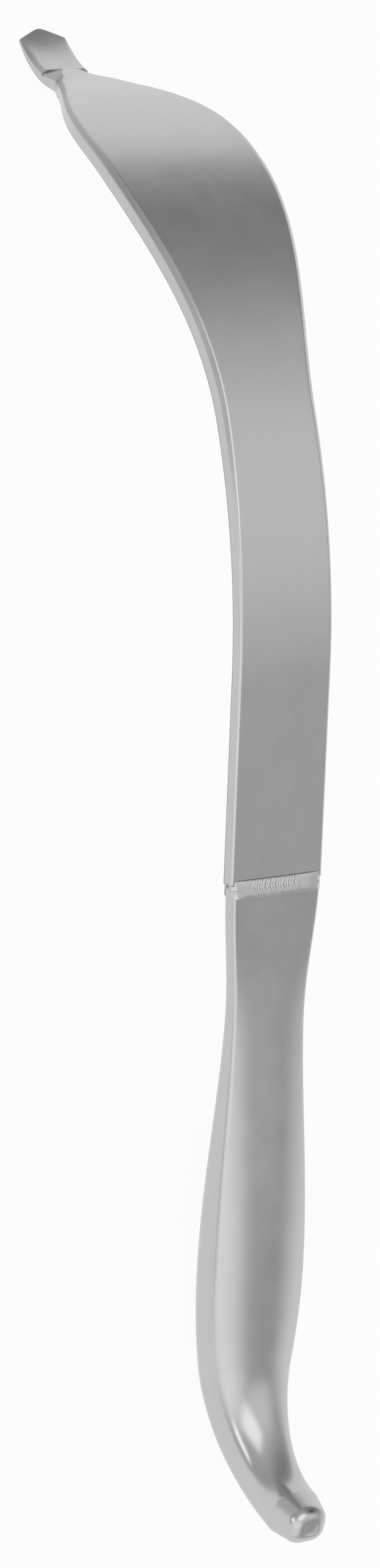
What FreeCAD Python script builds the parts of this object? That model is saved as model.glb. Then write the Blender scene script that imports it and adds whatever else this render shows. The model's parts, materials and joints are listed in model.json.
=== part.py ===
import FreeCAD, Part
import math
import os
import Sketcher

# Handheld surgical retractor: a forged, arched blade with a flared head and a narrow beak,
# butt-welded to a contoured handle that ends in a forward hook.
# While it is modelled, X runs along the instrument toward the beak, Y across it and Z out of
# the front face, with the middle of the weld seam at the origin. At the end the three pieces
# are turned and moved together so that they rest on the XY plane, front face up.

# Sizes in millimetres, angles in degrees, shares without a unit.
SIZES = {
    # blade: the side view along the middle of the plate's thickness, from the seam outward
    "bar_angle": 14.2,
    "bar_run": 41.5,
    "arch_radius": 129.5,
    "arch_angle": 28.2,
    "head_radius": 74.8,
    "head_angle": 56.5,
    "neck_run": 10.1,
    "neck_plain_run": 6.8,
    "beak_radius": 28.5,
    "beak_angle": 40.2,
    "crease_angle": 14.1,
    "beak_run": 1.0,
    # blade: thicknesses, widths and edges
    "plate_thick": 3.0,
    "head_thick": 3.6,
    "tip_thick": 0.6,
    "thicken_begin": 50.0,
    "thicken_end": 105.0,
    "thin_begin": 194.5,
    "thin_length": 15.6,
    "thin_bias_ratio": 1.5,
    "edge_bevel": 0.7,
    "back_bevel": 0.3,
    "bevel_share": 0.25,
    "bar_width": 20.5,
    "head_width": 35.2,
    "beak_width": 10.6,
    "flare_begin": 90.0,
    "flare_end": 147.5,
    "shoulder_begin": 151.0,
    "shoulder_end": 195.0,
    "shoulder_bias_ratio": 1.25,
    "neck_dip": 1.5,
    "neck_begin": 186.0,
    "neck_middle": 191.2,
    "neck_end": 196.2,
    "chevron_depth": 3.0,
    "tip_trim": 0.2,
    # blade: the ramp round the end of the head's face, down to the lower face of the beak
    "ramp_depth": 0.8,
    "ramp_share": 0.8,
    "point_width": 0.6,
    # weld seam: a double groove filled right through the thickness
    "root_gap": 1.2,
    "root_face": 1.0,
    "groove_angle": 35.0,
    "bead_rise": 0.45,
    "bead_overhang": 0.2,
    "bead_edge": 0.5,
    "ripple_pitch": 0.6,
    "ripple_drop": 0.15,
    "ripple_crest": 0.04,
    # handle: the side view along the middle of its sections, from the seam outward
    "grip_angle": 15.6,
    "grip_run": 99.0,
    "hook_radius": 25.2,
    "hook_angle": 80.0,
    "hook_run": 6.9,
    # handle: widths and thicknesses, from the seam over waist and belly to the nose
    "joint_width": 19.8,
    "waist_width": 16.6,
    "belly_width": 21.4,
    "tail_width": 11.1,
    "nose_width": 7.7,
    "waist_at": 27.0,
    "belly_at": 80.0,
    "tail_at": 132.0,
    "swell_bias_ratio": 0.9,
    "tail_bias_ratio": 1.15,
    "joint_thick": 4.4,
    "belly_thick": 12.4,
    "tail_thick": 9.3,
    "nose_thick": 7.4,
    "deepest_at": 84.0,
    "thinning_at": 105.0,
    "depth_bias_ratio": 1.2,
    "front_round_share": 0.40,
    "back_round_share": 0.34,
    "crown_share": 0.15,
    "nose_round": 2.8,
}

# How finely the side view is divided into cross-sections.
BAR_SHARES = (1 / 3, 2 / 3, 1)
ARCH_SHARES = (0.25, 0.5, 0.75, 1)
HEAD_SHARES = (0.14, 0.28, 0.42, 0.56, 0.7, 0.8, 0.9, 1)
RAMP_SHARES = (0.35, 0.7, 1)
CREASE_SHARES = (1 / 3, 2 / 3, 1)
BEAK_SHARES = (1 / 3, 2 / 3, 1)
GRIP_STEPS = 11
HOOK_STEPS = 5

ALONG = FreeCAD.Vector(1, 0, 0)
ACROSS = FreeCAD.Vector(0, 1, 0)
NORMAL = FreeCAD.Vector(0, 0, 1)

doc = FreeCAD.newDocument("Retractor")
sheet = doc.addObject("Spreadsheet::Sheet", "Sizes")
for row, (alias, value) in enumerate(SIZES.items(), start=1):
    sheet.set(f"A{row}", alias.replace("_", " "))
    sheet.set(f"B{row}", str(value))
    sheet.setAlias(f"B{row}", alias)
doc.recompute()


def size(alias):
    """The words by which an expression reads one cell of the sheet."""
    return f"Sizes.{alias}"


def number(expression):
    """What an expression comes to now."""
    result = sheet.evalExpression(expression)
    return float(getattr(result, "Value", result))


class Station:
    """A place on a side-view route, held as expressions.

    heading is 1 toward the beak and -1 toward the hook; lean is how far the route rises out
    of the X direction; run is the length of route so far.
    """

    def __init__(self, heading, lean, x="0", z="0", run="0"):
        self.heading = heading
        self.lean = lean
        self.x = x
        self.z = z
        self.run = run

    def straight(self, length):
        x = f"{self.x} + {self.heading} * {length} * cos({self.lean})"
        z = f"{self.z} + {length} * sin({self.lean})"
        return Station(self.heading, self.lean, x, z, f"{self.run} + {length}")

    def bend(self, radius, turn, way):
        """An arc of the route; way is 1 where it turns up, out of the front, and -1 down."""
        lean = f"({self.lean} + {way} * {turn})"
        x = f"{self.x} + {self.heading * way} * {radius} * (sin({lean}) - sin({self.lean}))"
        z = f"{self.z} + {way} * {radius} * (cos({self.lean}) - cos({lean}))"
        return Station(self.heading, lean, x, z, f"{self.run} + {radius} * {turn} * pi / 180")


def own_plane(body, role):
    return next(o for o in body.Origin.OriginFeatures if o.Role == role)


def new_sketch(body, name, role, axis, angle, base=("0", "0", "0")):
    """A sketch on one of the body's own planes, moved by base and turned about an axis."""
    sketch = body.newObject("Sketcher::SketchObject", name)
    sketch.AttachmentSupport = [(own_plane(body, role), "")]
    sketch.MapMode = "FlatFace"
    sketch.AttachmentOffset = FreeCAD.Placement(FreeCAD.Vector(), FreeCAD.Rotation(axis, 1))
    for letter, expression in zip("xyz", base):
        sketch.setExpression(f"AttachmentOffset.Base.{letter}", expression)
    sketch.setExpression("AttachmentOffset.Rotation.Angle", angle)
    return sketch


def cross_sketch(body, name, station):
    """A sketch square to the route: its x is Y and its y points out of the front face."""
    turn = f"{-station.heading} * {station.lean}"
    return new_sketch(body, name, "YZ_Plane", ALONG, turn, ("0", station.z, station.x))


def bind(sketch, name, expression, kind, *where):
    """Adds a dimension to a sketch and ties it to an expression."""
    index = sketch.addConstraint(Sketcher.Constraint(kind, *where, number(expression)))
    sketch.renameConstraint(index, name)
    sketch.setExpression(f"Constraints.{name}", expression)


def arc(x, y, radius, start, end):
    circle = Part.Circle(FreeCAD.Vector(x, y), NORMAL, radius)
    return Part.ArcOfCircle(circle, start, end)


def line(x1, y1, x2, y2):
    return Part.LineSegment(FreeCAD.Vector(x1, y1), FreeCAD.Vector(x2, y2))


def rounded_ring(body, name, station, width, thick, front, back, crown):
    """A closed ring with rounded corners and a bulging front.

    front and back are the corner radii there, crown the radius of the front face.
    """
    sketch = cross_sketch(body, name, station)
    half, top = number(width) / 2, number(thick) / 2
    front_now, back_now, crown_now = number(front), number(back), number(crown)
    reach, low = half - front_now, back_now - top
    depth = math.sqrt((crown_now - front_now) ** 2 - reach ** 2)
    middle, lean = top - crown_now + depth, math.atan2(reach, depth)
    edges = [
        arc(0, top - crown_now, crown_now, math.pi / 2 - lean, math.pi / 2 + lean),
        arc(-reach, middle, front_now, math.pi / 2 + lean, math.pi),
        line(-half, middle, -half, low),
        arc(back_now - half, low, back_now, math.pi, math.pi * 1.5),
        line(back_now - half, -top, half - back_now, -top),
        arc(half - back_now, low, back_now, math.pi * 1.5, math.pi * 2),
        line(half, low, half, middle),
        arc(reach, middle, front_now, 0, math.pi / 2 - lean),
    ]
    ring = sketch.addGeometry(edges, False)
    for edge, following in zip(ring, ring[1:] + ring[:1]):
        sketch.addConstraint(Sketcher.Constraint("Tangent", edge, 2, following, 1))
    face, left_front, left, left_back, base, right_back, right, right_front = ring
    sketch.addConstraint(Sketcher.Constraint("Vertical", left))
    sketch.addConstraint(Sketcher.Constraint("Vertical", right))
    sketch.addConstraint(Sketcher.Constraint("Symmetric", base, 1, base, 2, -2))
    sketch.addConstraint(Sketcher.Constraint("Equal", left_front, right_front))
    sketch.addConstraint(Sketcher.Constraint("Equal", left_back, right_back))
    sketch.addConstraint(Sketcher.Constraint("PointOnObject", face, 3, -2))
    bind(sketch, "width", width, "DistanceX", left, 1, right, 2)
    bind(sketch, "back_depth", f"({thick}) / 2", "DistanceY", base, 1, -1, 1)
    bind(sketch, "front_radius", front, "Radius", right_front)
    bind(sketch, "back_radius", back, "Radius", right_back)
    bind(sketch, "crown_radius", crown, "Radius", face)
    bind(sketch, "crown_depth", f"{crown} - ({thick}) / 2", "DistanceY", face, 3, -1, 1)
    return sketch


def plate_ring(body, name, station, width, thick, flat, drop, edge_drop):
    """A flat plate's cross-section with a bevel on each of its four edges.

    The front face is flat wide and lies drop under the plate's full thickness; the front
    bevels run from it down to edge_drop under the full thickness.
    """
    sketch = cross_sketch(body, name, station)
    half, top = f"({width}) / 2", f"({thick}) / 2"
    bevel = f"min({size('back_bevel')}; {size('bevel_share')} * ({thick}))"
    back_half, back_edge = f"({half} - {bevel})", f"({top} - {bevel})"
    front_half, face, front_edge = f"({flat}) / 2", f"({top} - {drop})", f"({top} - {edge_drop})"
    outline(sketch, [
        (back_half, f"-({top})"), (half, f"-{back_edge}"), (half, front_edge),
        (front_half, face), (f"-{front_half}", face), (f"-({half})", front_edge),
        (f"-({half})", f"-{back_edge}"), (f"-{back_half}", f"-({top})"),
    ])
    return sketch


def loft(body, name, sections, ruled=False):
    feature = body.newObject("PartDesign::AdditiveLoft", name)
    feature.Profile = sections[0]
    feature.Sections = sections[1:]
    feature.Ruled = ruled
    return feature


def outline(sketch, corners, rises=None):
    """A closed outline through corners given as pairs of expressions.

    rises gives, for the edge that starts at a corner, how far it bulges out of its chord.
    """
    rises = rises or {}
    points = [FreeCAD.Vector(number(x), number(y)) for x, y in corners]
    edges = []
    for i, point in enumerate(points):
        following = points[(i + 1) % len(points)]
        if i in rises:
            chord = following - point
            outward = FreeCAD.Vector(chord.y, -chord.x).normalize()
            peak = (point + following) / 2 + outward * number(rises[i])
            edges.append(Part.Arc(point, peak, following))
        else:
            edges.append(Part.LineSegment(point, following))
    ring = sketch.addGeometry(edges, False)
    for i, edge in enumerate(ring):
        following = (i + 1) % len(ring)
        sketch.addConstraint(Sketcher.Constraint("Coincident", edge, 2, ring[following], 1))
        x, y = corners[i]
        bind(sketch, f"x{i}", x, "DistanceX", -1, 1, edge, 1)
        bind(sketch, f"y{i}", y, "DistanceY", -1, 1, edge, 1)
        if i in rises:
            end_x, end_y = corners[following]
            chord = f"(({end_x} - ({x})) ^ 2 + ({end_y} - ({y})) ^ 2)"
            radius = f"({chord} / 4 + ({rises[i]}) ^ 2) / (2 * ({rises[i]}))"
            bind(sketch, f"radius{i}", radius, "Radius", edge)


def pad_both_ways(body, name, sketch, length):
    feature = body.newObject("PartDesign::Pad", name)
    feature.Profile = sketch
    feature.SideType = "Symmetric"
    feature.setExpression("Length", length)
    return feature


def cut_both_ways(body, name, sketch):
    feature = body.newObject("PartDesign::Pocket", name)
    feature.Profile = sketch
    feature.SideType = "Symmetric"
    feature.Type = "ThroughAll"
    return feature


# The seam: both plates are bevelled from each side, down to a root face at half thickness.
root = f"{size('root_gap')} / 2"
root_half = f"{size('root_face')} / 2"
seam_lean = f"({size('bar_angle')} + {size('grip_angle')}) / 2"
groove_slope = f"tan({size('groove_angle')})"


def groove_mouth(thick):
    """How far from the middle of the seam the groove is at a plate's surface."""
    return f"({root} + ({thick} / 2 - {root_half}) * {groove_slope})"


def bevel_end(body, heading, thick, width):
    """Cuts a double bevel on the end of a piece that lies toward heading from the seam."""
    sketch = new_sketch(body, f"{body.Name}_bevel_sketch", "XZ_Plane", NORMAL, seam_lean)
    outside = f"2 * {thick}"
    mouth = f"{heading} * ({root} + ({outside} - {root_half}) * {groove_slope})"
    far = f"{-heading} * {width}"
    outline(sketch, [
        (far, outside), (mouth, outside), (f"{heading} * {root}", root_half),
        (f"{heading} * {root}", f"-{root_half}"), (mouth, f"-{outside}"), (far, f"-{outside}"),
    ])
    return cut_both_ways(body, f"{body.Name}_bevel", sketch)


def eased(run, start, end, bias="1"):
    """A share that grows from 0 to 1 between two runs, along a half wave."""
    share = f"min(max(({run} - {start}) / ({end} - {start}); 0); 1)"
    return f"(1 - cos(180 * {share} ^ {bias})) / 2"


def blade_width(run):
    """The bar's width, flared to the head, drawn in to the beak and pinched at the neck."""
    flare = eased(run, size("flare_begin"), size("flare_end"))
    shoulder = eased(run, size("shoulder_begin"), size("shoulder_end"), size("shoulder_bias_ratio"))
    grown = f"({size('head_width')} - {size('bar_width')}) * {flare}"
    drawn = f"({size('head_width')} - {size('beak_width')}) * {shoulder}"
    pinch = eased(run, size("neck_begin"), size("neck_middle"))
    spread = eased(run, size("neck_middle"), size("neck_end"))
    pinched = f"{size('neck_dip')} * {pinch} * (1 - {spread})"
    return f"{size('bar_width')} + {grown} - {drawn} - {pinched}"


def blade_thick(run):
    """The bar's thickness, grown a little into the head and drawn out thin to the tip."""
    growth = eased(run, size("thicken_begin"), size("thicken_end"))
    grown = f"({size('head_thick')} - {size('plate_thick')}) * {growth}"
    drawn = f"({size('head_thick')} - {size('tip_thick')}) * {thinning(run)}"
    return f"{size('plate_thick')} + {grown} - {drawn}"


def thinning(run):
    """How far the beak is drawn out, from 0 at the neck to 1 at the tip."""
    share = f"min(max(({run} - {size('thin_begin')}) / {size('thin_length')}; 0); 1)"
    return f"{share} ^ {size('thin_bias_ratio')}"


def edge_bevel(thick):
    return f"min({size('edge_bevel')}; {size('bevel_share')} * ({thick}))"


def plain_ring(body, station):
    """A ring of the bar, the arch or the head."""
    width, thick = blade_width(station.run), blade_thick(station.run)
    bevel = edge_bevel(thick)
    return plate_ring(body, "blade_ring", station, width, thick,
                      f"{width} - 2 * {bevel}", "0", bevel)


def ramp_ring(body, station, start, end):
    """A ring of the ramp: the head's face draws in to a rounded point, and falls at the end."""
    width, thick = blade_width(station.run), blade_thick(station.run)
    bevel = edge_bevel(thick)
    share = f"(({station.run}) - ({start.run})) / (({end.run}) - ({start.run}))"
    oval = f"sqrt(max(1 - ({share} / {size('ramp_share')}) ^ 2; 0))"
    flat = f"max(({width} - 2 * {bevel}) * {oval}; {size('point_width')})"
    fall = f"max(({share} - {size('ramp_share')}) / (1 - {size('ramp_share')}); 0)"
    drop = f"{size('ramp_depth')} * {fall}"
    edge_drop = f"({bevel} + {size('ramp_depth')} * {share})"
    return plate_ring(body, "ramp_ring", station, width, thick, flat, drop, edge_drop)


def beak_ring(body, station):
    """A ring of the beak, whose front face meets the full thickness again at the tip."""
    width, thick = blade_width(station.run), blade_thick(station.run)
    drop = f"({size('ramp_depth')} * (1 - {thinning(station.run)}))"
    bevel = edge_bevel(f"{thick} - {drop}")
    return plate_ring(body, "beak_ring", station, width, thick,
                      f"{width} - 2 * {bevel}", drop, f"({drop} + {bevel})")


def blade():
    body = doc.addObject("PartDesign::Body", "blade")
    seam = Station(1, size("bar_angle"))
    bar = [seam.straight(f"{share} * {size('bar_run')}") for share in BAR_SHARES]
    arch = [bar[-1].bend(size("arch_radius"), f"{share} * {size('arch_angle')}", -1)
            for share in ARCH_SHARES]
    head = [arch[-1].bend(size("head_radius"), f"{share} * {size('head_angle')}", -1)
            for share in HEAD_SHARES]
    neck = head[-1].straight(size("neck_plain_run"))
    ramp_run = f"({size('neck_run')} - {size('neck_plain_run')})"
    ramp = [neck.straight(f"{share} * {ramp_run}") for share in RAMP_SHARES]
    crease = [ramp[-1].bend(size("beak_radius"), f"{share} * {size('crease_angle')}", 1)
              for share in CREASE_SHARES]
    rest = f"({size('beak_angle')} - {size('crease_angle')})"
    beak = [crease[-1].bend(size("beak_radius"), f"{share} * {rest}", 1)
            for share in BEAK_SHARES]
    tip = beak[-1].straight(size("beak_run"))
    plain = [seam] + bar + arch + head + [neck]
    loft(body, "blade_loft", [plain_ring(body, station) for station in plain])
    loft(body, "ramp_loft", [ramp_ring(body, station, neck, crease[-1])
                             for station in [neck] + ramp + crease], ruled=True)
    loft(body, "beak_loft", [beak_ring(body, station) for station in crease[-1:] + beak + [tip]])
    bevel_end(body, 1, size("plate_thick"), size("bar_width"))
    point_beak(body, tip)
    return body


def point_beak(body, tip):
    """Cuts the end of the beak to a blunt chevron, square to its face."""
    sketch = new_sketch(body, "chevron_sketch", "XY_Plane", ACROSS, f"-({tip.lean})",
                        (tip.x, "0", tip.z))
    half = f"{size('beak_width')} / 2"
    apex = f"-{size('tip_trim')}"
    back = f"-({size('tip_trim')} + {size('chevron_depth')})"
    clear = size("beak_width")
    outline(sketch, [
        (apex, "0"), (back, f"-({half})"), (back, f"-{clear}"),
        (clear, f"-{clear}"), (clear, clear), (back, clear), (back, half),
    ])
    return cut_both_ways(body, "chevron", sketch)


def grip_width(run):
    """The handle's width: in from the seam to the waist, out to the belly, in to the hook."""
    waist = eased(run, "0", size("waist_at"))
    swell = eased(run, size("waist_at"), size("belly_at"), size("swell_bias_ratio"))
    tail = eased(run, size("belly_at"), size("tail_at"), size("tail_bias_ratio"))
    narrowed = f"({size('joint_width')} - {size('waist_width')}) * {waist}"
    swollen = f"({size('belly_width')} - {size('waist_width')}) * {swell}"
    drawn = f"({size('belly_width')} - {size('tail_width')}) * {tail}"
    return f"{size('joint_width')} - {narrowed} + {swollen} - {drawn}"


def grip_thick(run):
    """The handle's thickness: from the plate at the seam out to the belly, less at the hook."""
    deep = eased(run, "0", size("deepest_at"), size("depth_bias_ratio"))
    tail = eased(run, size("thinning_at"), size("tail_at"), size("depth_bias_ratio"))
    grown = f"({size('belly_thick')} - {size('joint_thick')}) * {deep}"
    drawn = f"({size('belly_thick')} - {size('tail_thick')}) * {tail}"
    return f"{size('joint_thick')} + {grown} - {drawn}"


def handle():
    body = doc.addObject("PartDesign::Body", "handle")
    seam = Station(-1, f"-{size('grip_angle')}")
    grip = [seam.straight(f"{step} / {GRIP_STEPS} * {size('grip_run')}")
            for step in range(1, GRIP_STEPS + 1)]
    hook = [grip[-1].bend(size("hook_radius"), f"{step} / {HOOK_STEPS} * {size('hook_angle')}", 1)
            for step in range(1, HOOK_STEPS + 1)]
    nose = hook[-1].straight(size("hook_run"))
    rings = [(place, grip_width(place.run), grip_thick(place.run))
             for place in [seam] + grip + hook]
    rings.append((nose, size("nose_width"), size("nose_thick")))
    sections = []
    for i, (place, width, thick) in enumerate(rings):
        front, back = f"{size('front_round_share')} * ({thick})", f"{size('back_round_share')} * ({thick})"
        crown = f"(({width}) / 2) ^ 2 / (2 * {size('crown_share')} * ({thick}))"
        sections.append(rounded_ring(body, f"handle_section{i}", place, width, thick, front, back, crown))
    loft(body, "handle_loft", sections)
    bevel_end(body, -1, size("joint_thick"), size("joint_width"))
    doc.recompute()
    round_nose(body, nose)
    return body


def round_nose(body, nose):
    """Rounds the rim of the hook's end face."""
    centre = FreeCAD.Vector(number(nose.x), 0, number(nose.z))
    base = body.Tip
    faces = base.Shape.Faces
    end = min(range(len(faces)), key=lambda i: faces[i].CenterOfMass.distanceToPoint(centre))
    fillet = body.newObject("PartDesign::Fillet", "nose_fillet")
    fillet.Base = (base, [f"Face{end + 1}"])
    fillet.setExpression("Radius", size("nose_round"))
    return fillet


def weld_bead():
    body = doc.addObject("PartDesign::Body", "weld_bead")
    blade_half, grip_half = f"{size('plate_thick')} / 2", f"{size('joint_thick')} / 2"
    blade_mouth = groove_mouth(size("plate_thick"))
    grip_mouth = groove_mouth(size("joint_thick"))
    profile = new_sketch(body, "bead_sketch", "XZ_Plane", NORMAL, seam_lean)
    rise = size("bead_rise")
    outline(profile, [
        (f"-{root}", f"-{root_half}"), (f"-{grip_mouth}", f"-{grip_half}"),
        (blade_mouth, f"-{blade_half}"), (root, f"-{root_half}"),
        (root, root_half), (blade_mouth, blade_half),
        (f"-{grip_mouth}", grip_half), (f"-{root}", root_half),
    ], {1: rise, 5: rise})
    width = f"{size('joint_width')} + 2 * {size('bead_overhang')}"
    pad_both_ways(body, "bead_pad", profile, width)
    doc.recompute()
    bevel_bead_ends(body)
    doc.recompute()
    for side, way in (("front", 1), ("back", -1)):
        ripples(body, side, way, width)
    return body


def bevel_bead_ends(body):
    """Bevels the four curved edges where the crown of the bead meets its ends."""
    base = body.Tip
    arcs = [f"Edge{i}" for i, edge in enumerate(base.Shape.Edges, start=1)
            if edge.Curve.TypeId == "Part::GeomCircle"]
    bevel = body.newObject("PartDesign::Chamfer", "bead_bevel")
    bevel.Base = (base, arcs)
    bevel.setExpression("Size", size("bead_edge"))


def ripples(body, side, way, width):
    """Cuts the crown into overlapping scales, each rising toward +Y and stepping down."""
    seam = Station(1, seam_lean)
    sketch = cross_sketch(body, f"{side}_ripple_sketch", seam)
    blade_half, grip_half = f"{size('plate_thick')} / 2", f"{size('joint_thick')} / 2"
    rise, pitch = size("bead_rise"), size("ripple_pitch")
    span = f"({groove_mouth(size('plate_thick'))} + {groove_mouth(size('joint_thick'))})"
    drop = f"({grip_half} - {blade_half})"
    chord = f"({span} ^ 2 + {drop} ^ 2)"
    radius = f"(({chord} / 4 + {rise} ^ 2) / (2 * {rise}))"
    top = f"(({grip_half} + {blade_half}) / 2 + {radius} - ({radius} - {rise}) * {span} / sqrt({chord}))"
    start = f"-({width}) / 2"
    crest = f"{way} * ({top} - {size('ripple_crest')})"
    foot = f"{way} * ({top} - {size('ripple_crest')} - {size('ripple_drop')})"
    outside = f"{way} * ({top} + {rise})"
    corners = [(start, foot), (f"{start} + {pitch}", crest), (f"{start} + {pitch}", outside),
               (start, outside)]
    outline(sketch, corners if way == 1 else corners[::-1])
    pocket = cut_both_ways(body, f"{side}_ripple", sketch)
    pattern = body.newObject("PartDesign::LinearPattern", f"{side}_ripples")
    pattern.Originals = [pocket]
    pattern.Direction = (sketch, ["H_Axis"])
    count = f"floor(({width}) / {pitch})"
    pattern.setExpression("Occurrences", count)
    pattern.setExpression("Length", f"({count} - 1) * {pitch}")
    body.Tip = pattern


def check(objects):
    for item in objects:
        if "Invalid" in item.State or "Error" in item.State:
            raise ValueError(f"{item.Name} failed: {item.State}")


def corners_of(shapes):
    """Points over the surfaces, close enough together to find what they rest on."""
    points = []
    for shape in shapes:
        points += shape.tessellate(0.05)[0]
    return points


def resting(bodies):
    """The placement that lays the pieces on the XY plane, front up, centred on the origin.

    Seen from the side, they rest on the edge of their lower outline that passes under the
    centre of mass.
    """
    shapes = [body.Shape for body in bodies]
    mass = sum(shape.Volume for shape in shapes)
    middle = sum(shape.Volume * shape.CenterOfGravity.x for shape in shapes) / mass
    points = sorted({(round(p.x, 4), round(p.z, 4)) for p in corners_of(shapes)})
    lower = []
    for point in points:
        while len(lower) > 1:
            (ax, az), (bx, bz) = lower[-2:]
            if (bx - ax) * (point[1] - az) - (bz - az) * (point[0] - ax) > 0:
                break
            lower.pop()
        lower.append(point)
    foot, toe = next(pair for pair in zip(lower, lower[1:]) if pair[1][0] > middle)
    tilt = math.degrees(math.atan2(toe[1] - foot[1], toe[0] - foot[0]))
    turn = FreeCAD.Rotation(ACROSS, tilt)
    turned = [turn.multVec(p) for p in corners_of(shapes)]
    low = min(p.z for p in turned)
    left, right = min(p.x for p in turned), max(p.x for p in turned)
    base = FreeCAD.Vector(-(left + right) / 2, 0, -low)
    print(f"rests on x {foot[0]:.1f} and {toe[0]:.1f}: turned {tilt:.4f}, moved {tuple(base)}")
    return FreeCAD.Placement(base, turn)


bodies = [blade(), weld_bead(), handle()]
doc.recompute()
check(doc.Objects)
placement = resting(bodies)
for body in bodies:
    body.Label = body.Name
    body.Placement = placement
doc.recompute()
check(doc.Objects)

os.makedirs("parts", exist_ok=True)
for body in bodies:
    shape = body.Shape
    if shape.isNull() or not shape.isValid() or len(shape.Solids) != 1:
        raise ValueError(f"{body.Label} is not one sound solid")
    box = shape.BoundBox
    print(f"{body.Label}: {shape.Volume:.1f} mm3, {box.XLength:.2f} x {box.YLength:.2f} x {box.ZLength:.2f}")
    shape.exportStep(f"parts/{body.Label}.step")
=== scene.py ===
import json
import math
import bmesh
import bpy
import numpy as np
from mathutils import Matrix


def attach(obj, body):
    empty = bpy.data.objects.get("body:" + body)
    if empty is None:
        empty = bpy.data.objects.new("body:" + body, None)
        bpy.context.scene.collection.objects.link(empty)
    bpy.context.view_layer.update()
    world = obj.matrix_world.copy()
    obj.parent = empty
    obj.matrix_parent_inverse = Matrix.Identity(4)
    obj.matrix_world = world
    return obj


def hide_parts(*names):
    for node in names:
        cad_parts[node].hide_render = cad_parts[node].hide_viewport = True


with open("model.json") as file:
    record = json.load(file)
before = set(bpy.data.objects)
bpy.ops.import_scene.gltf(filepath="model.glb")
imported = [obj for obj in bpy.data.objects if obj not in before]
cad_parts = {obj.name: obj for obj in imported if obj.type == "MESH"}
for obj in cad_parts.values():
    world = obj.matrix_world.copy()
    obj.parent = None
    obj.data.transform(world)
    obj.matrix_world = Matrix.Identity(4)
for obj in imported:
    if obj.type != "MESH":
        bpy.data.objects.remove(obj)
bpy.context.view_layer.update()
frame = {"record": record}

millimetre = 0.001
mergeWithin = 0.000002  # points closer than this, in metres, become one
print("frame loaded")

# Shapes are worked out in the instrument's own frame, in millimetres: the middle of the weld
# seam is the origin, X runs toward the beak, Y across and Z out of the front face.

placing = {
    # how far the handle leans down from the seam, in degrees, and where along it the record's
    # grip mount lies
    "gripLean": 15.6, "mountAt": 66.0,
}

gripMount = next(m for m in frame["record"]["mounts"] if m["name"] == "grip")
gripLean = math.radians(placing["gripLean"])
restTurn = math.atan2(gripMount["axis"][2], gripMount["axis"][0]) - gripLean


def laidDown(points):
    # turns the instrument's own frame about Y as it lies on the floor, then moves the grip
    # mount to where the record has it, and goes from millimetres to metres
    turn = np.array([[math.cos(restTurn), 0, -math.sin(restTurn)], [0, 1, 0],
                     [math.sin(restTurn), 0, math.cos(restTurn)]])
    mountPoint = -placing["mountAt"] * np.array([math.cos(gripLean), 0, math.sin(gripLean)])
    move = np.array(gripMount["pos_m"]) - turn @ mountPoint * millimetre
    return points @ turn.T * millimetre + move


def eased(distance, start, end, bias=1.0):
    # half a cosine wave that goes from 0 at start to 1 at end, its run raised to the power bias
    share = np.clip((distance - start) / (end - start), 0, 1)
    return (1 - np.cos(np.pi * share ** bias)) / 2


def softPositive(value, rounding):
    # the larger of value and 0, with the turn between them rounded:
    # (value + sqrt(value^2 + rounding^2) - rounding) / 2
    return (value + np.hypot(value, rounding) - rounding) / 2


def sideRoute(distance, lean, runs, heading):
    # straights add length * (cos, sin) of the lean; an arc of bend b adds the differences of
    # sin and cos of its end leans, divided by b. Each run is followed as far as distance goes
    x, z = np.zeros_like(distance), np.zeros_like(distance)
    angle = np.full_like(distance, lean)
    passed = 0.0
    for number, (length, bend) in enumerate(runs):
        limit = length if number < len(runs) - 1 else np.inf
        part = np.clip(distance - passed, 0, limit)
        if bend:
            after = lean + bend * part
            x += heading * (np.sin(after) - np.sin(lean)) / bend
            z += (np.cos(lean) - np.cos(after)) / bend
        else:
            x += heading * part * np.cos(lean)
            z += part * np.sin(lean)
        angle += bend * part
        lean += bend * length
        passed += length
    return x, z, angle


def wholeRings(y, *others):
    # half rings that run from the middle of the back to the middle of the front, each
    # followed by its mirror image in Y
    mirrored = slice(-2, 0, -1)
    rings = [np.concatenate([y, -y[:, mirrored]], 1)]
    return rings + [np.concatenate([other, other[:, mirrored]], 1) for other in others]


def aroundLengths(y, n):
    # the length of the outline from its first point, with the closing edge as a last column
    step = np.hypot(np.diff(y, axis=1, append=y[:, :1]), np.diff(n, axis=1, append=n[:, :1]))
    return np.concatenate([np.zeros((len(y), 1)), np.cumsum(step, 1)], 1)


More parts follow.
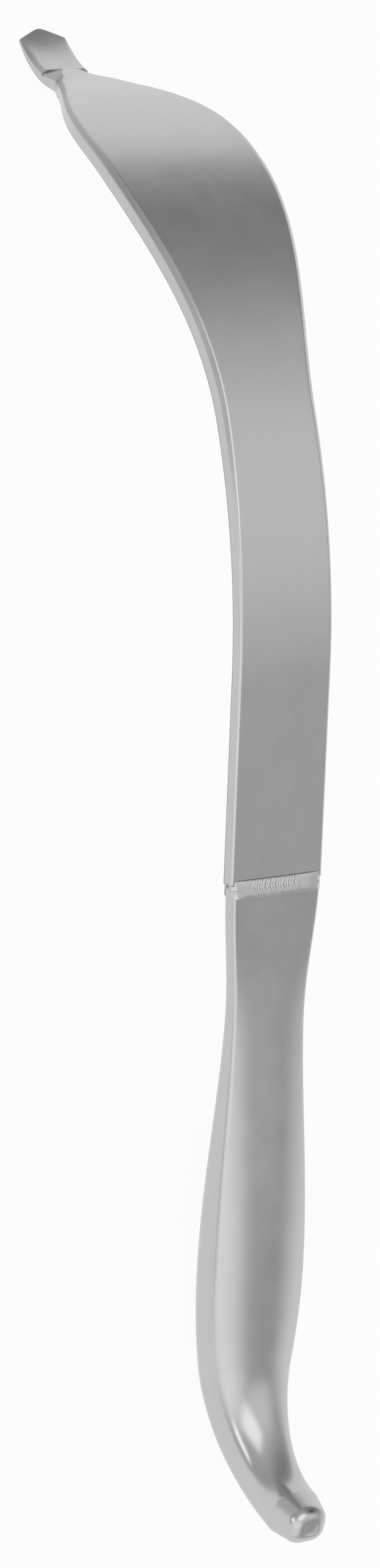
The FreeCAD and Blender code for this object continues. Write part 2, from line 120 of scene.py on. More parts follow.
def skin(name, rings, along, around, workedAndShaded):
    # quads between neighbouring rings of points, each ring closed on itself; the UV map holds
    # the lengths along and around in metres, and the last argument says how much a point was
    # ground, dented or lies at the weld's edge, which sets how much painted shade and extra
    # roughness it gets. Points that meet at the ends are merged
    ringCount, pointCount = rings.shape[:2]
    i, j = np.meshgrid(np.arange(ringCount - 1), np.arange(pointCount), indexing="ij")
    k = (j + 1) % pointCount
    corners = np.stack([i * pointCount + j, (i + 1) * pointCount + j,
                        (i + 1) * pointCount + k, i * pointCount + k], -1).reshape(-1, 4)
    mesh = bpy.data.meshes.new(name)
    mesh.vertices.add(ringCount * pointCount)
    mesh.vertices.foreach_set("co", laidDown(rings.reshape(-1, 3)).ravel())
    mesh.loops.add(corners.size)
    mesh.loops.foreach_set("vertex_index", corners.ravel())
    mesh.polygons.add(len(corners))
    mesh.polygons.foreach_set("loop_start", np.arange(len(corners)) * 4)
    mesh.update(calc_edges=True)
    u = np.stack([along[i, j], along[i + 1, j], along[i + 1, k], along[i, k]], -1)
    v = np.stack([around[i, j], around[i + 1, j], around[i + 1, j + 1], around[i, j + 1]], -1)
    layer = mesh.uv_layers.new(name="surface")
    layer.uv.foreach_set("vector", np.stack([u, v], -1).ravel() * millimetre)
    # per point: how much painted shade and added roughness the point gets
    paintedShadeMask = mesh.attributes.new("paintedShadeMask", "FLOAT", "POINT")
    paintedShadeMask.data.foreach_set("value", workedAndShaded.ravel())
    work = bmesh.new()
    work.from_mesh(mesh)
    bmesh.ops.remove_doubles(work, verts=work.verts, dist=mergeWithin)
    bmesh.ops.recalc_face_normals(work, faces=work.faces)
    work.to_mesh(mesh)
    work.free()
    mesh.shade_smooth()
    piece = bpy.data.objects.new(name, mesh)
    bpy.context.collection.objects.link(piece)
    return piece


grain = {
    # how finely the brushing and the mottle break up, and the part of the noise that is used
    "brushDetail": 5.0, "brushBreak": 0.6, "mottleDetail": 6.0, "noiseLow": 0.3, "noiseHigh": 0.7,
}


def makeSteel(name, look):
    # brushing is noise drawn out along the surface: it shifts the roughness and lifts the
    # surface. A broad mottle shifts the roughness and the colour. Where the metal was ground
    # or dented, or meets the weld, it is rougher and its colour is painted darker as shade
    material = bpy.data.materials.new(name)
    material.use_nodes = True
    nodes, links = material.node_tree.nodes, material.node_tree.links
    shader = nodes["Principled BSDF"]
    shader.inputs["Metallic"].default_value = 1.0
    shader.inputs["Anisotropic"].default_value = look["anisotropy"]
    surface = nodes.new("ShaderNodeUVMap")
    surface.uv_map = "surface"
    drawn = nodes.new("ShaderNodeMapping")
    drawn.inputs["Scale"].default_value = (look["brushAlong"], look["brushAround"], 1)
    brush = nodes.new("ShaderNodeTexNoise")
    brush.inputs["Scale"].default_value = 1.0
    brush.inputs["Detail"].default_value = grain["brushDetail"]
    brush.inputs["Roughness"].default_value = grain["brushBreak"]
    place = nodes.new("ShaderNodeTexCoord")
    mottle = nodes.new("ShaderNodeTexNoise")
    mottle.inputs["Scale"].default_value = look["mottleScale"]
    mottle.inputs["Detail"].default_value = grain["mottleDetail"]
    links.new(surface.outputs["UV"], drawn.inputs["Vector"])
    links.new(drawn.outputs["Vector"], brush.inputs["Vector"])
    links.new(place.outputs["Object"], mottle.inputs["Vector"])
    # the mask of painted shade, read from the mesh
    paintedShadeMask = nodes.new("ShaderNodeAttribute")
    paintedShadeMask.attribute_name = "paintedShadeMask"

    def spread(source, low, high, first=grain["noiseLow"], last=grain["noiseHigh"]):
        # source between first and last becomes a value between low and high
        node = nodes.new("ShaderNodeMapRange")
        ends = zip(("From Min", "From Max", "To Min", "To Max"), (first, last, low, high))
        for socket, value in ends:
            node.inputs[socket].default_value = value
        links.new(source, node.inputs["Value"])
        return node.outputs["Result"]

    def added(first, second):
        # first + second
        node = nodes.new("ShaderNodeMath")
        node.operation = "ADD"
        links.new(first, node.inputs[0])
        links.new(second, node.inputs[1])
        return node.outputs["Value"]

    def tinted(source, low, high):
        # a colour between low and high, either of which may come from another node
        node = nodes.new("ShaderNodeMix")
        node.data_type = "RGBA"
        for key, value in (("A", low), ("B", high)):
            if isinstance(value, tuple):
                node.inputs[key].default_value = (*value, 1)
            else:
                links.new(value, node.inputs[key])
        links.new(source, node.inputs["Factor"])
        return node.outputs["Result"]

    brushRough = spread(brush.outputs["Fac"], -look["brushRough"] / 2, look["brushRough"] / 2)
    mottleRough = spread(mottle.outputs["Fac"], look["roughness"] - look["mottleRough"] / 2,
                         look["roughness"] + look["mottleRough"] / 2)
    groundRough = spread(paintedShadeMask.outputs["Fac"], 0, look["groundRough"], 0, 1)
    links.new(added(added(brushRough, mottleRough), groundRough), shader.inputs["Roughness"])
    mottledColour = tinted(mottle.outputs["Fac"], look["shade"], look["colour"])
    # the colour is painted darker toward the shade colour where the mask is set, as shade
    links.new(tinted(paintedShadeMask.outputs["Fac"], mottledColour, look["paintedShadeColour"]), shader.inputs["Base Color"])
    relief = nodes.new("ShaderNodeBump")
    relief.inputs["Distance"].default_value = look["brushHeight"]
    links.new(brush.outputs["Fac"], relief.inputs["Height"])
    links.new(relief.outputs["Normal"], shader.inputs["Normal"])
    if look["anisotropy"]:
        stretch = nodes.new("ShaderNodeTangent")
        stretch.direction_type = "UV_MAP"
        stretch.uv_map = "surface"
        links.new(stretch.outputs["Tangent"], shader.inputs["Tangent"])
    return material


def dress(piece, node, material):
    # the piece shows in place of the node, in that material slot
    piece.data.materials.append(material)
    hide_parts(node)
    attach(piece, "root")


bladeForm = {
    # the side route from the seam: leans and turns in degrees
    "barLean": 14.2, "barRun": 41.5,
    "archRadius": 129.5, "archTurn": 28.2,
    "headRadius": 74.8, "headTurn": 56.5,
    "neckRun": 10.1,
    "beakRadius": 28.5, "beakTurn": 40.2, "beakRun": 0.8,
    # widths and thicknesses, and the runs over which they change
    "barWidth": 20.5, "headWidth": 35.2, "beakWidth": 10.6,
    "flareStart": 90.0, "flareEnd": 147.5,
    "shoulderStart": 151.0, "shoulderEnd": 195.0, "shoulderBias": 1.25,
    "neckDip": 1.5, "neckStart": 186.0, "neckMiddle": 191.2, "neckEnd": 196.2,
    "barThick": 3.0, "headThick": 3.6, "tipThick": 0.6,
    "thickenStart": 50.0, "thickenEnd": 105.0,
    "thinStart": 194.5, "thinLength": 15.6, "thinBias": 1.5,
    # bevels: full size on the head, a share of it on the bar
    "bevelWide": 0.95, "bevelDeep": 0.7, "bevelShare": 0.25,
    "barBevel": 0.4, "bevelStart": 45.0, "bevelFull": 105.0,
    "backBevel": 0.3, "edgeSoft": 0.12, "deepestDrop": 1.3,
    # the ramp at the neck and the crease where the beak's face starts
    "rampStart": 185.0, "rampEnd": 196.1, "rampDepth": 0.8, "rampShare": 0.9,
    "ovalLeast": 0.0005, "creaseBlend": 0.4, "creaseSharp": 0.02,
    # where painted shade on the ground bevels and the ramp's sides begins and is full, and how
    # soon beyond the face's edge
    "facetStart": 118.0, "facetFull": 160.0, "facetSoft": 0.25,
    # the blunt V that the beak ends in, and the roundness of its end edge
    "chevronDepth": 3.0, "chevronBlend": 9.0, "apexRound": 0.9, "tipRound": 0.22,
    # rings and points; closer rings run from a little after the ramp's start to past its end
    "start": 0.4, "rings": 400, "fineRings": 180, "fineAfter": 2.0, "fineBeyond": 1.0,
    "tipRings": 6, "facePoints": 36, "sidePoints": 5, "backPoints": 8,
}
bladeSteel = {
    # the darker last colour is painted shade, put on the ground bevels and the ramp's sides
    "colour": (0.60, 0.60, 0.60), "shade": (0.55, 0.55, 0.55), "paintedShadeColour": (0.42, 0.42, 0.42),
    "roughness": 0.26, "groundRough": 0.06, "anisotropy": 0.3,
    "brushAlong": 60.0, "brushAround": 5200.0, "brushHeight": 0.0000015, "brushRough": 0.06,
    "mottleScale": 140.0, "mottleRough": 0.05,
}


def thinShare(run):
    # (run beyond the start / length)^bias, from 0 just before the crease to nearly 1 at the tip
    form = bladeForm
    return np.clip((run - form["thinStart"]) / form["thinLength"], 0, 1) ** form["thinBias"]


def bladeWidth(run):
    # the bar's width, plus the eased flare, minus the eased shoulders and the neck's dip
    form = bladeForm
    grown = (form["headWidth"] - form["barWidth"]) * eased(run, form["flareStart"], form["flareEnd"])
    drawn = (form["headWidth"] - form["beakWidth"]) * eased(
        run, form["shoulderStart"], form["shoulderEnd"], form["shoulderBias"])
    pinched = form["neckDip"] * eased(run, form["neckStart"], form["neckMiddle"]) * (
        1 - eased(run, form["neckMiddle"], form["neckEnd"]))
    return form["barWidth"] + grown - drawn - pinched


def bladeThick(run):
    # the bar's thickness, plus the eased growth of the head, minus the thinning of the beak
    form = bladeForm
    grown = (form["headThick"] - form["barThick"]) * eased(
        run, form["thickenStart"], form["thickenEnd"])
    return form["barThick"] + grown - (form["headThick"] - form["tipThick"]) * thinShare(run)


def frontDrop(run, y, half, flat, bevel):
    # how far the front lies below the plate's own face. Along the sides a bevel falls evenly
    # from the edge of the face. Toward the neck the face narrows as sqrt(1 - (r / share)^2)
    # and its sides fall as far as the ramp's depth further, and past that share the middle
    # falls too. The beak's face starts there, the ramp's depth down, after a short blend
    form = bladeForm
    onRamp = np.maximum(run - form["rampStart"], 0) / (form["rampEnd"] - form["rampStart"])
    oval = flat * np.sqrt(np.maximum(1 - (onRamp / form["rampShare"]) ** 2, form["ovalLeast"]))
    beyondFace = softPositive(np.abs(y) - oval, form["edgeSoft"])
    fall = np.clip((onRamp - form["rampShare"]) / (1 - form["rampShare"]), 0, 1)
    sides = (bevel + form["rampDepth"] * onRamp) / (half - oval)
    onFace = sides * beyondFace + form["rampDepth"] * fall
    beyondBeak = softPositive(np.abs(y) - flat, form["edgeSoft"])
    onBeak = bevel / (half - flat) * beyondBeak + form["rampDepth"] * (1 - thinShare(run))
    onward = np.clip((run - form["rampEnd"]) / form["creaseBlend"] + 1, 0, 1) ** 2
    beyond = np.where(run > form["rampEnd"] - form["creaseSharp"], beyondBeak, beyondFace)
    return onFace * (1 - onward) + onBeak * onward, beyond


def makeBlade():
    # rings from the middle of the back round by +Y: back, small bevel, side, front, and the
    # same again mirrored. They draw in along a quarter circle at the end of the beak, whose
    # two sides run back from the middle as a soft V
    form = bladeForm
    turns = [math.radians(form[key]) for key in ("archTurn", "headTurn", "beakTurn")]
    runs = [(form["barRun"], 0), (form["archRadius"] * turns[0], -1 / form["archRadius"]),
            (form["headRadius"] * turns[1], -1 / form["headRadius"]), (form["neckRun"], 0),
            (form["beakRadius"] * turns[2], 1 / form["beakRadius"]), (form["beakRun"], 0)]
    length = sum(run for run, bend in runs)
    bow = np.linspace(0, np.pi / 2, form["tipRings"])[1:]
    main = np.union1d(np.linspace(form["start"], length - form["tipRound"], form["rings"]),
                      np.linspace(form["rampStart"] + form["fineAfter"],
                                  form["rampEnd"] + form["fineBeyond"], form["fineRings"]))
    shrink = np.concatenate([main * 0, form["tipRound"] * (1 - np.cos(bow))])[:, None]
    run = np.concatenate([main, length - form["tipRound"] * (1 - np.sin(bow))])[:, None]
    half, top = bladeWidth(run) / 2 - shrink, bladeThick(run) / 2 - shrink
    bevel = np.minimum(form["bevelDeep"], form["bevelShare"] * bladeThick(run)) / form["bevelDeep"]
    fullness = eased(run, form["bevelStart"], form["bevelFull"])
    bevel = bevel * (form["barBevel"] + (1 - form["barBevel"]) * fullness)
    flat, small = half - form["bevelWide"] * bevel, form["backBevel"] * bevel
    frontY = half * np.sin(np.linspace(np.pi / 2, 0, form["facePoints"]))[None, :]
    drop, beyond = frontDrop(run, frontY, half, flat, form["bevelDeep"] * bevel)
    drop = np.minimum(drop, form["deepestDrop"] * top)
    upSide = np.linspace(0, 1, form["sidePoints"])[None, :-1]
    overBack = np.linspace(0, 1, form["backPoints"])[None, :]
    low, high = -top + small, top - drop[:, :1]
    y = np.concatenate([overBack * (half - small), half + upSide * 0, frontY], 1)
    n = np.concatenate([overBack * 0 - top, low + upSide * (high - low), top - drop], 1)
    plain = np.zeros((len(run), form["backPoints"] + form["sidePoints"] - 1))
    # painted shade on the bevels and the ramp's sides beyond the face's edge, fading in along the run
    paintedShadeMask = np.concatenate([plain, np.clip(beyond / form["facetSoft"], 0, 1)], 1)
    y, n, paintedShadeMask = wholeRings(y, n, paintedShadeMask)
    paintedShadeMask = paintedShadeMask * eased(run, form["facetStart"], form["facetFull"])
    soft = np.hypot(y, form["apexRound"]) - form["apexRound"]
    blend = eased(run, length - form["chevronBlend"], length - form["tipRound"])
    distance = run - form["chevronDepth"] * soft / (form["beakWidth"] / 2) * blend
    # the first ring closes on the middle of the bar's end, the last on the beak's end edge
    distance = np.concatenate([distance[:1], distance, distance[-1:]])
    y = np.concatenate([y[:1] * 0, y, y[-1:]])
    n = np.concatenate([n[:1] * 0, n, n[-1:] * 0])
    paintedShadeMask = np.concatenate([paintedShadeMask[:1], paintedShadeMask, paintedShadeMask[-1:]])
    x, z, lean = sideRoute(distance, math.radians(form["barLean"]), runs, 1)
    points = np.stack([x - n * np.sin(lean), y, z + n * np.cos(lean)], -1)
    return skin("blade_forging", points, distance, aroundLengths(y, n), paintedShadeMask)


dress(makeBlade(), "blade", makeSteel("brushedBladeSteel", bladeSteel))
print("blade made")

handleForm = {
    # the side route from the seam, and the widths and thicknesses along it
    "gripRun": 99.0, "hookRadius": 25.2, "hookTurn": 80.0, "hookRun": 6.9,
    "jointWidth": 19.8, "waistWidth": 16.6, "bellyWidth": 21.4, "tailWidth": 11.1, "noseWidth": 7.7,
    "waistAt": 27.0, "bellyAt": 80.0, "tailAt": 132.0, "swellBias": 0.9, "tailBias": 1.15,
    "jointThick": 4.4, "bellyThick": 12.4, "tailThick": 9.3, "noseThick": 7.4,
    "deepestAt": 84.0, "thinningAt": 105.0, "depthBias": 1.2,
    # the crown's height and the corners' radii as shares of the thickness. The front corners
    # grow rounder from a little before the grip's end to a little beyond it
    "seamCrown": 0.06, "gripCrown": 0.22, "crownFull": 30.0,
    "frontRound": 0.18, "tailRound": 0.34, "rounderBefore": 22.0, "rounderBeyond": 14.0,
    "backRound": 0.38,
    # the nose, and the pit near it: its place, depth and reach
    "noseRound": 2.2, "domeRise": 0.2,
    "pitPlace": 0.62, "pitAcross": -0.2, "pitDeep": 0.10, "pitWide": 0.9, "pitTall": 0.35,
    # rings and points
    "start": 0.4, "rings": 420, "noseRings": 20, "domeRings": 12,
    "backPoints": 9, "backCornerPoints": 12, "sidePoints": 7, "frontCornerPoints": 9,
    "facePoints": 30,
}
handleSteel = {
    # the very dark last colour is painted shade inside the pit
    "colour": (0.61, 0.61, 0.61), "shade": (0.54, 0.54, 0.54), "paintedShadeColour": (0.12, 0.12, 0.12),
    "roughness": 0.24, "groundRough": 0.2, "anisotropy": 0.0,
    "brushAlong": 900.0, "brushAround": 1400.0, "brushHeight": 0.0000005, "brushRough": 0.03,
    "mottleScale": 160.0, "mottleRough": 0.06,
}


def handleWidth(run):
    # the joint's width, minus the eased waist, plus the eased belly, minus the eased tail
    form = handleForm
    narrowed = (form["jointWidth"] - form["waistWidth"]) * eased(run, 0, form["waistAt"])
    swollen = (form["bellyWidth"] - form["waistWidth"]) * eased(
        run, form["waistAt"], form["bellyAt"], form["swellBias"])
    drawn = (form["bellyWidth"] - form["tailWidth"]) * eased(
        run, form["bellyAt"], form["tailAt"], form["tailBias"])
    return form["jointWidth"] - narrowed + swollen - drawn


def handleThick(run):
    # the joint's thickness, plus the eased belly, minus the eased tail
    form = handleForm
    grown = (form["bellyThick"] - form["jointThick"]) * eased(
        run, 0, form["deepestAt"], form["depthBias"])
    drawn = (form["bellyThick"] - form["tailThick"]) * eased(
        run, form["thinningAt"], form["tailAt"], form["depthBias"])
    return form["jointThick"] + grown - drawn


def barOutline(half, top, front, back, sag):
    # half of a ring, from the middle of the back round by +Y to the middle of the front: a
    # flat back, a round corner, a side, a smaller corner, and a crowned face whose radius is
    # half^2 / (2 sag). The corner's centre lies where it touches both side and crown
    form = handleForm
    crown = half ** 2 / (2 * sag)
    reach = half - front
    depth = np.sqrt((crown - front) ** 2 - reach ** 2)
    middle, lean = top - crown + depth, np.arctan2(reach, depth)
    overBack, overBackCorner, upSide, overFrontCorner = (
        np.linspace(0, 1, form[key], endpoint=False)[None, :]
        for key in ("backPoints", "backCornerPoints", "sidePoints", "frontCornerPoints"))
    quarter = (overBackCorner - 1) * np.pi / 2
    turn = overFrontCorner * (np.pi / 2 - lean)
    sweep = lean * (1 - np.linspace(0, 1, form["facePoints"])[None, :])
    lowSide = back - top
    y = [overBack * (half - back), half - back + back * np.cos(quarter), half + upSide * 0,
         reach + front * np.cos(turn), crown * np.sin(sweep)]
    n = [overBack * 0 - top, lowSide + back * np.sin(quarter), lowSide + upSide * (middle - lowSide),
         middle + front * np.sin(turn), top - crown + crown * np.cos(sweep)]
    return np.concatenate(y, 1), np.concatenate(n, 1)


def makeHandle():
    # rings of barOutline carried along the side route; the nose draws in along a quarter
    # circle and closes in a low dome, with a small pit pressed into its upper rim as
    # exp(-(across / wide)^2 - (along / tall)^2)
    form = handleForm
    turn = math.radians(form["hookTurn"])
    runs = [(form["gripRun"], 0), (form["hookRadius"] * turn, 1 / form["hookRadius"]),
            (form["hookRun"], 0)]
    length = sum(run for run, bend in runs)
    tail = length - form["hookRun"]
    rim = length - form["domeRise"]
    main = np.linspace(form["start"], length - form["noseRound"] - form["domeRise"], form["rings"])
    bow = np.linspace(0, np.pi / 2, form["noseRings"])[1:]
    shut = np.linspace(0, 1, form["domeRings"])[1:]
    run = np.concatenate([main, rim - form["noseRound"] * (1 - np.sin(bow)),
                          rim + form["domeRise"] * (1 - (1 - shut) ** 2)])[:, None]
    shrink = np.concatenate([main * 0, form["noseRound"] * (1 - np.cos(bow)),
                             shut * 0 + form["noseRound"]])[:, None]
    close = np.concatenate([main * 0, bow * 0, shut])[:, None]
    atNose = np.clip((run - tail) / form["hookRun"], 0, 1)
    half = (handleWidth(run) + (form["noseWidth"] - form["tailWidth"]) * atNose) / 2 - shrink
    top = (handleThick(run) + (form["noseThick"] - form["tailThick"]) * atNose) / 2 - shrink
    crown = form["seamCrown"] + (form["gripCrown"] - form["seamCrown"]) * eased(
        run, 0, form["crownFull"])
    corner = form["frontRound"] + (form["tailRound"] - form["frontRound"]) * eased(
        run, form["gripRun"] - form["rounderBefore"], form["gripRun"] + form["rounderBeyond"])
    y, n = barOutline(half, top, corner * 2 * top, form["backRound"] * 2 * top, crown * 2 * top)
    y, n = (side * (1 - close) for side in wholeRings(y, n))
    run = run + y * 0
    place = length - form["noseRound"] * form["pitPlace"]
    pit = np.exp(-((y - form["pitAcross"]) / form["pitWide"]) ** 2
                 - ((run - place) / form["pitTall"]) ** 2) * (n > 0)
    n = n - form["pitDeep"] * pit
    # the first ring closes on the middle of the joint's end
    run, pit = np.concatenate([run[:1], run]), np.concatenate([pit[:1], pit])
    y, n = np.concatenate([y[:1] * 0, y]), np.concatenate([n[:1] * 0, n])
    x, z, lean = sideRoute(run, -gripLean, runs, -1)
    points = np.stack([x + n * np.sin(lean), y, z + n * np.cos(lean)], -1)
    # the pit's mask also paints shade into the pit
    return skin("handle_forging", points, run, aroundLengths(y, n), pit)


weldForm = {
    "bladeWide": 20.3, "gripWide": 19.5, "cornerWide": 0.8, "cornerDeep": 0.5,
    "bladeMouth": 1.5, "gripMouth": 2.1, "rise": 0.24, "edgePower": 0.7, "proud": 0.03,
    # the scales: their pitch, how they bulge and trail, and how the bead steps down from each
    "pitch": 0.6, "bulge": 1.0, "trail": 0.25, "stepDeep": 0.15, "stepFrom": 0.72, "stepLow": 0.1,
    # two waves, in radians for each millimetre, shift the scales by up to jitter each
    "jitter": 0.06, "firstWave": 2.9, "secondWave": 4.7, "waveShift": 1.3,
    "rippleFrom": -5.2, "rippleTo": 6.4, "rippleFade": 1.4, "flushFade": 3.2,
    # the dark line where the bead meets the blade is painted shade
    "toeShadeFrom": 0.88,  # the dark line along the blade starts at this share of the bead's reach
    "stations": 700, "acrossPoints": 30,
}
weldSteel = {
    # the dark last colour is painted shade along the bead's edge on the blade
    "colour": (0.66, 0.66, 0.66), "shade": (0.52, 0.52, 0.52), "paintedShadeColour": (0.2, 0.2, 0.2),
    "roughness": 0.28, "groundRough": 0.15, "anisotropy": 0.0,
    "brushAlong": 2600.0, "brushAround": 2600.0, "brushHeight": 0.000002, "brushRough": 0.06,
    "mottleScale": 900.0, "mottleRough": 0.08,
}


def makeWeld():
    # across the seam the bead swells as (1 - share^4)^power; along it each scale is a crescent
    # that rises toward +Y and steps down, shifted by the square of the place across. The bead
    # is ground flush toward its ends, and its back is like its front
    form = weldForm
    seamLean = (math.radians(bladeForm["barLean"]) + gripLean) / 2
    share = np.linspace(-1, 1, form["acrossPoints"])[None, :]
    end = (form["bladeWide"] + form["gripWide"] + (form["bladeWide"] - form["gripWide"]) * share) / 4
    along = np.linspace(-1, 1, form["stations"])[:, None] * end
    wave = form["jitter"] * (np.sin(along * form["firstWave"])
                             + np.sin(along * form["secondWave"] + form["waveShift"]))
    phase = (along + form["bulge"] * (share ** 2 - 1) - form["trail"] * share + wave) / form["pitch"]
    scale = phase - np.floor(phase)
    notch = scale - eased(scale, form["stepFrom"], 1.0) - form["stepLow"]
    inside = eased(along, form["rippleFrom"], form["rippleFrom"] + form["rippleFade"]) * (
        1 - eased(along, form["rippleTo"] - form["rippleFade"], form["rippleTo"]))
    toEnd = end - np.abs(along)
    corner = form["cornerDeep"] * np.clip(1 - toEnd / form["cornerWide"], 0, 1)
    crown = form["rise"] * np.clip(1 - share ** 4, 0, 1) ** form["edgePower"]
    crown = crown * eased(toEnd, 0, form["flushFade"])
    ripple = form["stepDeep"] * notch * inside * np.clip(1 - share ** 6, 0, 1)
    middle = (form["bladeMouth"] - form["gripMouth"]) / 2
    reach = (form["bladeMouth"] + form["gripMouth"]) / 2
    base = (bladeForm["barThick"] + handleForm["jointThick"]) / 4 + form["proud"]
    slope = (bladeForm["barThick"] - handleForm["jointThick"]) / 4
    front = base + slope * share + crown + ripple - corner
    across = middle + share * reach + along * 0
    # a line of painted shade along the bead's edge on the blade side
    toeShade = np.clip((share - form["toeShadeFrom"]) / (1 - form["toeShadeFrom"]), 0, 1) + along * 0
    x, n, y, toeShade = (
        np.concatenate([there, back], 1)
        for there, back in ((across, across[:, ::-1]), (front, -front[:, ::-1]),
                            (along, along[:, ::-1]), (toeShade, toeShade[:, ::-1])))
    # both end rings close on the middle of the bead's end
    x = np.concatenate([x[:1] * 0 + middle, x, x[-1:] * 0 + middle])
    n = np.concatenate([n[:1] * 0, n, n[-1:] * 0])
    y, toeShade = (np.concatenate([value[:1], value, value[-1:]]) for value in (y, toeShade))
    points = np.stack([x * np.cos(seamLean) - n * np.sin(seamLean), y,
                       x * np.sin(seamLean) + n * np.cos(seamLean)], -1)
    return skin("weld_metal", points, y, aroundLengths(x, n), toeShade)


dress(makeWeld(), "weld_bead", makeSteel("rippledWeldSteel", weldSteel))
print("weld made")
dress(makeHandle(), "handle", makeSteel("blastedHandleSteel", handleSteel))
print("handle made")

studio = {
    # the floor, and how much of it and of the room shows as white
    "floorSize": 6.0, "floorColour": (0.86, 0.86, 0.86), "whiteToCamera": 0.93,
    "whiteInMetal": 0.8,
}


def direction(azimuth, elevation):
    # (cos e cos a, cos e sin a, sin e), from degrees
    azimuth, elevation = math.radians(azimuth), math.radians(elevation)
    return (math.cos(elevation) * math.cos(azimuth), math.cos(elevation) * math.sin(azimuth),
            math.sin(elevation))


def makeFloor():
    # a square of matt paint, which the camera and the metal see mixed with a larger share of
    # plain white, so that a little of the object's shadow shows
    mesh = bpy.data.meshes.new("floor")
    half = studio["floorSize"] / 2
    mesh.from_pydata([(-half, -half, 0), (half, -half, 0), (half, half, 0), (-half, half, 0)],
                     [], [(0, 1, 2, 3)])
    floor = bpy.data.objects.new("floor", mesh)
    bpy.context.collection.objects.link(floor)
    material = bpy.data.materials.new("paleFloor")
    material.use_nodes = True
    nodes, links = material.node_tree.nodes, material.node_tree.links
    paint = nodes["Principled BSDF"]
    paint.inputs["Base Color"].default_value = (*studio["floorColour"], 1)
    paint.inputs["Roughness"].default_value = 1.0
    paint.inputs["Specular IOR Level"].default_value = 0.0
    white = nodes.new("ShaderNodeEmission")
    rays = nodes.new("ShaderNodeLightPath")

    def combined(operation, first, second):
        # the product or the larger of the two; second may be a plain number
        node = nodes.new("ShaderNodeMath")
        node.operation = operation
        links.new(first, node.inputs[0])
        if isinstance(second, float):
            node.inputs[1].default_value = second
        else:
            links.new(second, node.inputs[1])
        return node.outputs["Value"]

    toCamera = combined("MULTIPLY", rays.outputs["Is Camera Ray"], studio["whiteToCamera"])
    inMetal = combined("MULTIPLY", combined("MAXIMUM", rays.outputs["Is Glossy Ray"],
                                            rays.outputs["Is Transmission Ray"]),
                       studio["whiteInMetal"])
    mixed = nodes.new("ShaderNodeMixShader")
    links.new(combined("MAXIMUM", toCamera, inMetal), mixed.inputs["Fac"])
    links.new(paint.outputs["BSDF"], mixed.inputs[1])
    links.new(white.outputs["Emission"], mixed.inputs[2])
    links.new(mixed.outputs["Shader"], nodes["Material Output"].inputs["Surface"])
    mesh.materials.append(material)


# The room's grey at four heights, from straight down to straight up, and broad patches of
# wall that are lighter or darker than it: azimuth and elevation of a patch as seen from the
# object, how many degrees it reaches and how much it adds at its middle.
roomGreys = {0.0: 0.60, 0.5: 0.66, 0.66: 0.46, 1.0: 0.62}
roomPatches = {
    "overhead": (-104, 62, 30, 0.28),
    "rightWall": (-140, 44, 34, -0.06),
    "farWall": (-34, 14, 44, -0.19),
    "leftWall": (140, 34, 48, 0.60),
    "nearRightWall": (-108, 2, 36, 0.32),
}


def makeRoom():
    # the world's light is the grey for the height plus each patch, which fades as a smooth
    # step of the cosine between its middle and the looking direction. The camera sees white
    world = bpy.data.worlds.new("studioRoom")
    world.use_nodes = True
    bpy.context.scene.world = world
    nodes, links = world.node_tree.nodes, world.node_tree.links
    looking = nodes.new("ShaderNodeTexCoord")
    parts = nodes.new("ShaderNodeSeparateXYZ")
    links.new(looking.outputs["Generated"], parts.inputs["Vector"])
    height = nodes.new("ShaderNodeMapRange")
    height.inputs["From Min"].default_value = -1.0
    links.new(parts.outputs["Z"], height.inputs["Value"])
    tones = nodes.new("ShaderNodeValToRGB")
    places = sorted(roomGreys)
    steps = tones.color_ramp.elements
    steps[1].position = places[-1]
    for place in places[1:-1]:
        steps.new(place)
    for step, place in zip(steps, places):
        step.color = (*[roomGreys[place]] * 3, 1)
    links.new(height.outputs["Result"], tones.inputs["Fac"])
    total = tones.outputs["Color"]
    for azimuth, elevation, reach, gain in roomPatches.values():
        near = nodes.new("ShaderNodeVectorMath")
        near.operation = "DOT_PRODUCT"
        near.inputs[1].default_value = direction(azimuth, elevation)
        links.new(looking.outputs["Generated"], near.inputs[0])
        patch = nodes.new("ShaderNodeMapRange")
        patch.interpolation_type = "SMOOTHSTEP"
        patch.inputs["From Min"].default_value = math.cos(math.radians(reach))
        patch.inputs["To Max"].default_value = gain
        links.new(near.outputs["Value"], patch.inputs["Value"])
        added = nodes.new("ShaderNodeMath")
        added.operation = "ADD"
        links.new(total, added.inputs[0])
        links.new(patch.outputs["Result"], added.inputs[1])
        total = added.outputs["Value"]
    rays = nodes.new("ShaderNodeLightPath")
    shown = nodes.new("ShaderNodeMix")
    shown.inputs["B"].default_value = studio["whiteToCamera"]
    links.new(rays.outputs["Is Camera Ray"], shown.inputs["Factor"])
    links.new(total, shown.inputs["A"])
    links.new(shown.outputs["Result"], nodes["Background"].inputs["Color"])


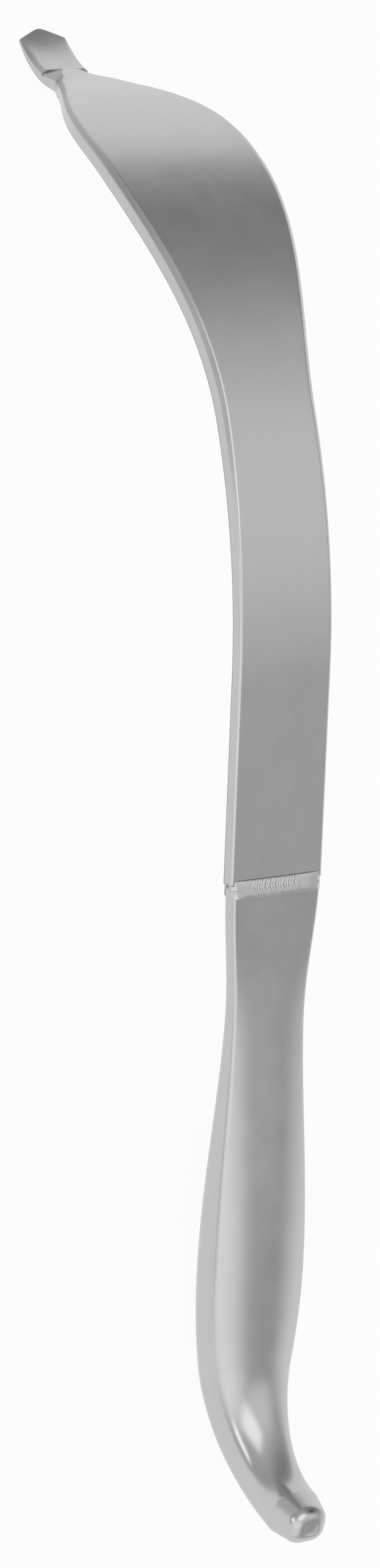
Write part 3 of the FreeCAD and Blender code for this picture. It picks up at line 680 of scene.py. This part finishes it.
lamps = {
    # azimuth and elevation of each softbox as seen from the object, its size, distance and power
    "leftSide": {"azimuth": 88, "elevation": 32, "size": (0.7, 0.4), "away": 1.3, "power": 1.0},
    "overhead": {"azimuth": 60, "elevation": 80, "size": (1.0, 0.8), "away": 1.5, "power": 2.0},
}


def makeLamp(name, lamp):
    # a rectangular softbox that faces the object from its direction and distance
    toward = np.array(direction(lamp["azimuth"], lamp["elevation"]))
    light = bpy.data.lights.new(name, "AREA")
    light.shape = "RECTANGLE"
    light.size, light.size_y = lamp["size"]
    light.energy = lamp["power"]
    box = bpy.data.objects.new(name, light)
    bpy.context.collection.objects.link(box)
    flat = np.cross((0, 0, 1), toward)
    flat /= np.linalg.norm(flat)
    turn = Matrix(np.stack([flat, np.cross(toward, flat), toward], 1).tolist()).to_4x4()
    box.matrix_world = Matrix.Translation(toward * lamp["away"]) @ turn


viewer = {
    # the camera in the instrument's own frame: its place in millimetres, its right and its up;
    # then its lens in millimetres and the nearest and farthest it sees, in metres
    "place": (69.1, 485.1, 809.4), "right": (-0.0890, -0.8596, 0.5031), "up": (0.9947, -0.1030, 0.0),
    "lens": 112.5, "nearest": 0.01, "farthest": 50.0,
}


def makeCamera():
    # right and up are made square to each other, and the camera looks along minus their cross
    origin = laidDown(np.zeros(3))
    right, up = (laidDown(np.array(viewer[key])) - origin for key in ("right", "up"))
    right /= np.linalg.norm(right)
    up -= right * (right @ up)
    up /= np.linalg.norm(up)
    data = bpy.data.cameras.new("viewer")
    data.lens = viewer["lens"]
    data.clip_start, data.clip_end = viewer["nearest"], viewer["farthest"]
    camera = bpy.data.objects.new("viewer", data)
    bpy.context.collection.objects.link(camera)
    turn = Matrix(np.stack([right, up, np.cross(right, up)], 1).tolist()).to_4x4()
    camera.matrix_world = Matrix.Translation(laidDown(np.array(viewer["place"]))) @ turn
    bpy.context.scene.camera = camera


makeFloor()
makeRoom()
for lampName, lampValues in lamps.items():
    makeLamp(lampName, lampValues)
makeCamera()
bpy.context.scene.view_settings.view_transform = "Standard"
print("studio and camera set")
